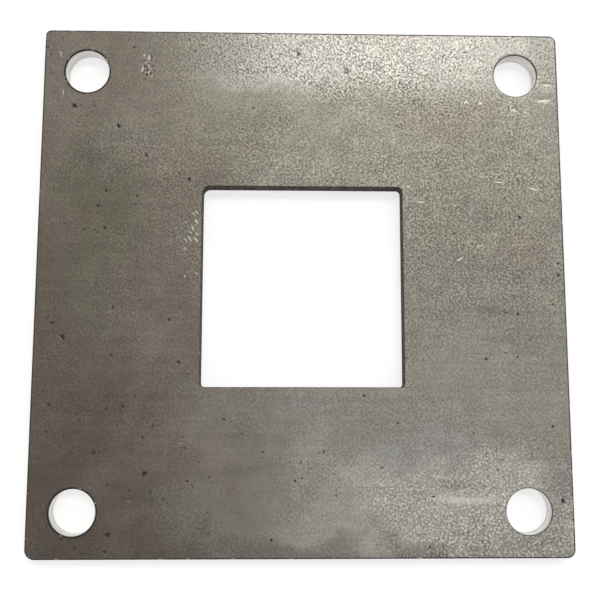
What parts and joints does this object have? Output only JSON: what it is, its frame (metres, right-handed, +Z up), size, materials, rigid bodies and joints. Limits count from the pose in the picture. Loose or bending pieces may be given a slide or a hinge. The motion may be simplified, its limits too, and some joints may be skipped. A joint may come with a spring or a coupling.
{
  "type": "square cover plate",
  "caption": "Flat square steel plate with a square tube opening in the middle and a round bolt hole in each corner, for fixing or covering the foot of a square post.",
  "frame": {"origin": "middle of the lower face, which the plate lies on", "axes": "+Z up through the thickness, +X and +Y along the sides"},
  "size_m": [0.1524, 0.1524, 0.0048],
  "materials": {
    "hot_rolled_steel": "bare hot-rolled mild steel, worn mill scale with small pits and light scratches"
  },
  "bodies": {
    "root": {"cover_plate": "hot_rolled_steel"}
  },
  "joints": []
}
